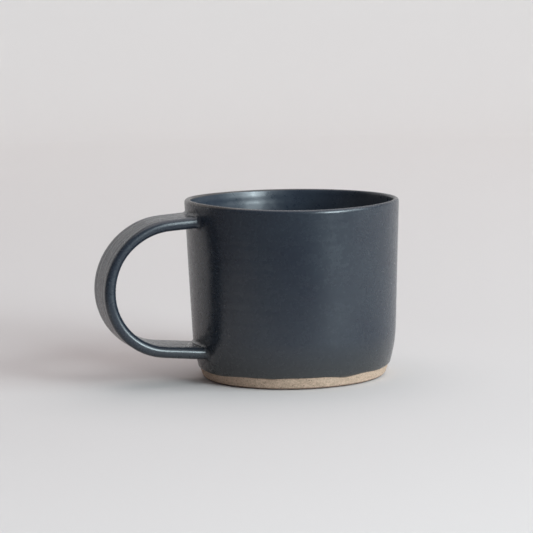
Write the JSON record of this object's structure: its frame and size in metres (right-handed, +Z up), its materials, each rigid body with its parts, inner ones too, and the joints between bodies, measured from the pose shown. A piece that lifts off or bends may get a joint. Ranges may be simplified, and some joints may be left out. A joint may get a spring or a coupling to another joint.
{
  "type": "mug",
  "caption": "Stoneware mug with a slightly tapered cup, a wide flat D-shaped strap handle, a satin dark glaze and a bare foot.",
  "frame": {"origin": "on the cup's axis, in the plane of the foot that the mug stands on", "axes": "+Z up along the cup's axis, the handle points along -X, and the XZ plane halves the mug"},
  "size_m": [0.129, 0.09, 0.0746],
  "materials": {
    "stoneware": "unglazed",
    "satin_glaze": "satin",
    "liner_glaze": "gloss"
  },
  "bodies": {
    "root": {"cup_body": "stoneware", "handle_strap": "stoneware", "upper_slip_joint": "stoneware", "lower_slip_joint": "stoneware", "outer_glaze": "satin_glaze", "liner_glaze": "liner_glaze", "handle_glaze": "satin_glaze"}
  },
  "joints": []
}
